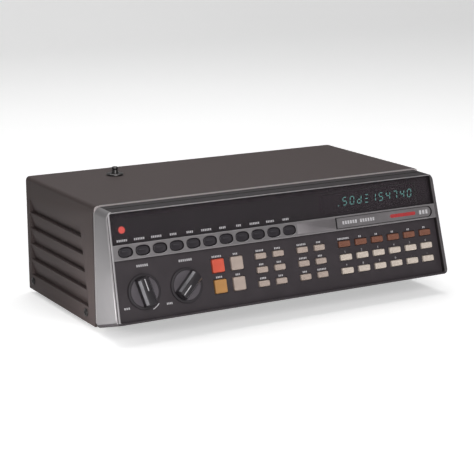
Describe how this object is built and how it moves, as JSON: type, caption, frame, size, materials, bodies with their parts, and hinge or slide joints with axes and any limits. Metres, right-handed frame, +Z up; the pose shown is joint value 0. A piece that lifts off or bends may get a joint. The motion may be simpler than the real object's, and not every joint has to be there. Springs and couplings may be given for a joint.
{
  "type": "police scanner",
  "caption": "Desktop police scanner receiver: louvred cabinet, leaning front with window, service keys, keypad and two knobs, and a pull-up antenna.",
  "frame": {"origin": "under the middle of the case, level with the underside of its feet", "axes": "+X to the right of someone facing the keys, +Y to the rear, +Z up"},
  "size_m": [0.2746, 0.1619, 0.0954],
  "materials": {
    "cover_paint": "fine textured warm grey paint",
    "zinc_steel": "zinc plated sheet",
    "silver_trim": "satin silver paint on a plastic moulding",
    "smoked_window": "smoked acrylic",
    "charcoal_panel": "fine satin",
    "display_glass": "dark tube glass",
    "circuit_board": "solder mask",
    "transformer_iron": "varnished laminations",
    "speaker_black": "black basket",
    "antenna_chrome": "polished",
    "knob_plastic": "satin charcoal",
    "service_key": "satin black",
    "orange_key": "satin",
    "amber_key": "satin",
    "cream_key": "satin",
    "brown_key": "satin"
  },
  "bodies": {
    "cabinet": {"cabinet_cover": "cover_paint", "chassis": "zinc_steel", "front_bezel": "silver_trim", "display_window": "smoked_window", "face_panel": "charcoal_panel", "display_tube": "display_glass", "key_board": "circuit_board", "main_board": "circuit_board", "power_transformer": "transformer_iron", "speaker": "speaker_black", "antenna_socket": "antenna_chrome"},
    "volume_knob": {"volume_knob": "knob_plastic"},
    "squelch_knob": {"squelch_knob": "knob_plastic"},
    "antenna_mast": {"antenna_mast": "antenna_chrome"},
    "antenna_tip": {"antenna_tip": "antenna_chrome"},
    "service_key_01": {"service_key_01": "service_key"},
    "service_key_02": {"service_key_02": "service_key"},
    "service_key_03": {"service_key_03": "service_key"},
    "service_key_04": {"service_key_04": "service_key"},
    "service_key_05": {"service_key_05": "service_key"},
    "service_key_06": {"service_key_06": "service_key"},
    "service_key_07": {"service_key_07": "service_key"},
    "service_key_08": {"service_key_08": "service_key"},
    "service_key_09": {"service_key_09": "service_key"},
    "service_key_10": {"service_key_10": "service_key"},
    "service_key_11": {"service_key_11": "service_key"},
    "square_key_r1c1": {"square_key_r1c1": "orange_key"},
    "square_key_r1c2": {"square_key_r1c2": "cream_key"},
    "square_key_r2c1": {"square_key_r2c1": "amber_key"},
    "square_key_r2c2": {"square_key_r2c2": "cream_key"},
    "function_key_r1c1": {"function_key_r1c1": "cream_key"},
    "function_key_r1c2": {"function_key_r1c2": "cream_key"},
    "function_key_r1c3": {"function_key_r1c3": "cream_key"},
    "function_key_r1c4": {"function_key_r1c4": "cream_key"},
    "function_key_r2c1": {"function_key_r2c1": "cream_key"},
    "function_key_r2c2": {"function_key_r2c2": "cream_key"},
    "function_key_r2c3": {"function_key_r2c3": "cream_key"},
    "function_key_r2c4": {"function_key_r2c4": "cream_key"},
    "function_key_r3c1": {"function_key_r3c1": "cream_key"},
    "function_key_r3c2": {"function_key_r3c2": "cream_key"},
    "function_key_r3c3": {"function_key_r3c3": "cream_key"},
    "function_key_r3c4": {"function_key_r3c4": "cream_key"},
    "number_key_r1c1": {"number_key_r1c1": "brown_key"},
    "number_key_r1c2": {"number_key_r1c2": "brown_key"},
    "number_key_r1c3": {"number_key_r1c3": "brown_key"},
    "number_key_r1c4": {"number_key_r1c4": "brown_key"},
    "number_key_r1c5": {"number_key_r1c5": "brown_key"},
    "number_key_r1c6": {"number_key_r1c6": "brown_key"},
    "number_key_r2c1": {"number_key_r2c1": "cream_key"},
    "number_key_r2c2": {"number_key_r2c2": "cream_key"},
    "number_key_r2c3": {"number_key_r2c3": "cream_key"},
    "number_key_r2c4": {"number_key_r2c4": "cream_key"},
    "number_key_r2c5": {"number_key_r2c5": "cream_key"},
    "number_key_r2c6": {"number_key_r2c6": "cream_key"},
    "number_key_r3c1": {"number_key_r3c1": "cream_key"},
    "number_key_r3c2": {"number_key_r3c2": "cream_key"},
    "number_key_r3c3": {"number_key_r3c3": "cream_key"},
    "number_key_r3c4": {"number_key_r3c4": "cream_key"},
    "number_key_r3c5": {"number_key_r3c5": "cream_key"},
    "number_key_r3c6": {"number_key_r3c6": "cream_key"}
  },
  "joints": [
    {"name": "volume_turn", "type": "hinge", "parent": "cabinet", "child": "volume_knob", "pos_m": [-0.1129, -0.07146, 0.03318], "axis": [0, 0.9636, -0.2672], "range_deg": [-126.7, 163.3]},
    {"name": "squelch_turn", "type": "hinge", "parent": "cabinet", "child": "squelch_knob", "pos_m": [-0.0807, -0.07146, 0.03318], "axis": [0, 0.9636, -0.2672], "range_deg": [0, 283.7]},
    {"name": "mast_pull", "type": "slide", "parent": "cabinet", "child": "antenna_mast", "axis": [0, 0, 1], "range_m": [0, 0.059]},
    {"name": "tip_pull", "type": "slide", "parent": "antenna_mast", "child": "antenna_tip", "axis": [0, 0, 1], "range_m": [0, 0.06]},
    {"name": "service_key_01_press", "type": "slide", "parent": "cabinet", "child": "service_key_01", "axis": [0, 0.9636, -0.2672], "range_m": [0, 0.0012], "stiffness_N_per_m": 400},
    {"name": "service_key_02_press", "type": "slide", "parent": "cabinet", "child": "service_key_02", "axis": [0, 0.9636, -0.2672], "range_m": [0, 0.0012], "stiffness_N_per_m": 400},
    {"name": "service_key_03_press", "type": "slide", "parent": "cabinet", "child": "service_key_03", "axis": [0, 0.9636, -0.2672], "range_m": [0, 0.0012], "stiffness_N_per_m": 400},
    {"name": "service_key_04_press", "type": "slide", "parent": "cabinet", "child": "service_key_04", "axis": [0, 0.9636, -0.2672], "range_m": [0, 0.0012], "stiffness_N_per_m": 400},
    {"name": "service_key_05_press", "type": "slide", "parent": "cabinet", "child": "service_key_05", "axis": [0, 0.9636, -0.2672], "range_m": [0, 0.0012], "stiffness_N_per_m": 400},
    {"name": "service_key_06_press", "type": "slide", "parent": "cabinet", "child": "service_key_06", "axis": [0, 0.9636, -0.2672], "range_m": [0, 0.0012], "stiffness_N_per_m": 400},
    {"name": "service_key_07_press", "type": "slide", "parent": "cabinet", "child": "service_key_07", "axis": [0, 0.9636, -0.2672], "range_m": [0, 0.0012], "stiffness_N_per_m": 400},
    {"name": "service_key_08_press", "type": "slide", "parent": "cabinet", "child": "service_key_08", "axis": [0, 0.9636, -0.2672], "range_m": [0, 0.0012], "stiffness_N_per_m": 400},
    {"name": "service_key_09_press", "type": "slide", "parent": "cabinet", "child": "service_key_09", "axis": [0, 0.9636, -0.2672], "range_m": [0, 0.0012], "stiffness_N_per_m": 400},
    {"name": "service_key_10_press", "type": "slide", "parent": "cabinet", "child": "service_key_10", "axis": [0, 0.9636, -0.2672], "range_m": [0, 0.0012], "stiffness_N_per_m": 400},
    {"name": "service_key_11_press", "type": "slide", "parent": "cabinet", "child": "service_key_11", "axis": [0, 0.9636, -0.2672], "range_m": [0, 0.0012], "stiffness_N_per_m": 400},
    {"name": "square_key_r1c1_press", "type": "slide", "parent": "cabinet", "child": "square_key_r1c1", "axis": [0, 0.9636, -0.2672], "range_m": [0, 0.0012], "stiffness_N_per_m": 400},
    {"name": "square_key_r1c2_press", "type": "slide", "parent": "cabinet", "child": "square_key_r1c2", "axis": [0, 0.9636, -0.2672], "range_m": [0, 0.0012], "stiffness_N_per_m": 400},
    {"name": "square_key_r2c1_press", "type": "slide", "parent": "cabinet", "child": "square_key_r2c1", "axis": [0, 0.9636, -0.2672], "range_m": [0, 0.0012], "stiffness_N_per_m": 400},
    {"name": "square_key_r2c2_press", "type": "slide", "parent": "cabinet", "child": "square_key_r2c2", "axis": [0, 0.9636, -0.2672], "range_m": [0, 0.0012], "stiffness_N_per_m": 400},
    {"name": "function_key_r1c1_press", "type": "slide", "parent": "cabinet", "child": "function_key_r1c1", "axis": [0, 0.9636, -0.2672], "range_m": [0, 0.0012], "stiffness_N_per_m": 400},
    {"name": "function_key_r1c2_press", "type": "slide", "parent": "cabinet", "child": "function_key_r1c2", "axis": [0, 0.9636, -0.2672], "range_m": [0, 0.0012], "stiffness_N_per_m": 400},
    {"name": "function_key_r1c3_press", "type": "slide", "parent": "cabinet", "child": "function_key_r1c3", "axis": [0, 0.9636, -0.2672], "range_m": [0, 0.0012], "stiffness_N_per_m": 400},
    {"name": "function_key_r1c4_press", "type": "slide", "parent": "cabinet", "child": "function_key_r1c4", "axis": [0, 0.9636, -0.2672], "range_m": [0, 0.0012], "stiffness_N_per_m": 400},
    {"name": "function_key_r2c1_press", "type": "slide", "parent": "cabinet", "child": "function_key_r2c1", "axis": [0, 0.9636, -0.2672], "range_m": [0, 0.0012], "stiffness_N_per_m": 400},
    {"name": "function_key_r2c2_press", "type": "slide", "parent": "cabinet", "child": "function_key_r2c2", "axis": [0, 0.9636, -0.2672], "range_m": [0, 0.0012], "stiffness_N_per_m": 400},
    {"name": "function_key_r2c3_press", "type": "slide", "parent": "cabinet", "child": "function_key_r2c3", "axis": [0, 0.9636, -0.2672], "range_m": [0, 0.0012], "stiffness_N_per_m": 400},
    {"name": "function_key_r2c4_press", "type": "slide", "parent": "cabinet", "child": "function_key_r2c4", "axis": [0, 0.9636, -0.2672], "range_m": [0, 0.0012], "stiffness_N_per_m": 400},
    {"name": "function_key_r3c1_press", "type": "slide", "parent": "cabinet", "child": "function_key_r3c1", "axis": [0, 0.9636, -0.2672], "range_m": [0, 0.0012], "stiffness_N_per_m": 400},
    {"name": "function_key_r3c2_press", "type": "slide", "parent": "cabinet", "child": "function_key_r3c2", "axis": [0, 0.9636, -0.2672], "range_m": [0, 0.0012], "stiffness_N_per_m": 400},
    {"name": "function_key_r3c3_press", "type": "slide", "parent": "cabinet", "child": "function_key_r3c3", "axis": [0, 0.9636, -0.2672], "range_m": [0, 0.0012], "stiffness_N_per_m": 400},
    {"name": "function_key_r3c4_press", "type": "slide", "parent": "cabinet", "child": "function_key_r3c4", "axis": [0, 0.9636, -0.2672], "range_m": [0, 0.0012], "stiffness_N_per_m": 400},
    {"name": "number_key_r1c1_press", "type": "slide", "parent": "cabinet", "child": "number_key_r1c1", "axis": [0, 0.9636, -0.2672], "range_m": [0, 0.0012], "stiffness_N_per_m": 400},
    {"name": "number_key_r1c2_press", "type": "slide", "parent": "cabinet", "child": "number_key_r1c2", "axis": [0, 0.9636, -0.2672], "range_m": [0, 0.0012], "stiffness_N_per_m": 400},
    {"name": "number_key_r1c3_press", "type": "slide", "parent": "cabinet", "child": "number_key_r1c3", "axis": [0, 0.9636, -0.2672], "range_m": [0, 0.0012], "stiffness_N_per_m": 400},
    {"name": "number_key_r1c4_press", "type": "slide", "parent": "cabinet", "child": "number_key_r1c4", "axis": [0, 0.9636, -0.2672], "range_m": [0, 0.0012], "stiffness_N_per_m": 400},
    {"name": "number_key_r1c5_press", "type": "slide", "parent": "cabinet", "child": "number_key_r1c5", "axis": [0, 0.9636, -0.2672], "range_m": [0, 0.0012], "stiffness_N_per_m": 400},
    {"name": "number_key_r1c6_press", "type": "slide", "parent": "cabinet", "child": "number_key_r1c6", "axis": [0, 0.9636, -0.2672], "range_m": [0, 0.0012], "stiffness_N_per_m": 400},
    {"name": "number_key_r2c1_press", "type": "slide", "parent": "cabinet", "child": "number_key_r2c1", "axis": [0, 0.9636, -0.2672], "range_m": [0, 0.0012], "stiffness_N_per_m": 400},
    {"name": "number_key_r2c2_press", "type": "slide", "parent": "cabinet", "child": "number_key_r2c2", "axis": [0, 0.9636, -0.2672], "range_m": [0, 0.0012], "stiffness_N_per_m": 400},
    {"name": "number_key_r2c3_press", "type": "slide", "parent": "cabinet", "child": "number_key_r2c3", "axis": [0, 0.9636, -0.2672], "range_m": [0, 0.0012], "stiffness_N_per_m": 400},
    {"name": "number_key_r2c4_press", "type": "slide", "parent": "cabinet", "child": "number_key_r2c4", "axis": [0, 0.9636, -0.2672], "range_m": [0, 0.0012], "stiffness_N_per_m": 400},
    {"name": "number_key_r2c5_press", "type": "slide", "parent": "cabinet", "child": "number_key_r2c5", "axis": [0, 0.9636, -0.2672], "range_m": [0, 0.0012], "stiffness_N_per_m": 400},
    {"name": "number_key_r2c6_press", "type": "slide", "parent": "cabinet", "child": "number_key_r2c6", "axis": [0, 0.9636, -0.2672], "range_m": [0, 0.0012], "stiffness_N_per_m": 400},
    {"name": "number_key_r3c1_press", "type": "slide", "parent": "cabinet", "child": "number_key_r3c1", "axis": [0, 0.9636, -0.2672], "range_m": [0, 0.0012], "stiffness_N_per_m": 400},
    {"name": "number_key_r3c2_press", "type": "slide", "parent": "cabinet", "child": "number_key_r3c2", "axis": [0, 0.9636, -0.2672], "range_m": [0, 0.0012], "stiffness_N_per_m": 400},
    {"name": "number_key_r3c3_press", "type": "slide", "parent": "cabinet", "child": "number_key_r3c3", "axis": [0, 0.9636, -0.2672], "range_m": [0, 0.0012], "stiffness_N_per_m": 400},
    {"name": "number_key_r3c4_press", "type": "slide", "parent": "cabinet", "child": "number_key_r3c4", "axis": [0, 0.9636, -0.2672], "range_m": [0, 0.0012], "stiffness_N_per_m": 400},
    {"name": "number_key_r3c5_press", "type": "slide", "parent": "cabinet", "child": "number_key_r3c5", "axis": [0, 0.9636, -0.2672], "range_m": [0, 0.0012], "stiffness_N_per_m": 400},
    {"name": "number_key_r3c6_press", "type": "slide", "parent": "cabinet", "child": "number_key_r3c6", "axis": [0, 0.9636, -0.2672], "range_m": [0, 0.0012], "stiffness_N_per_m": 400}
  ]
}
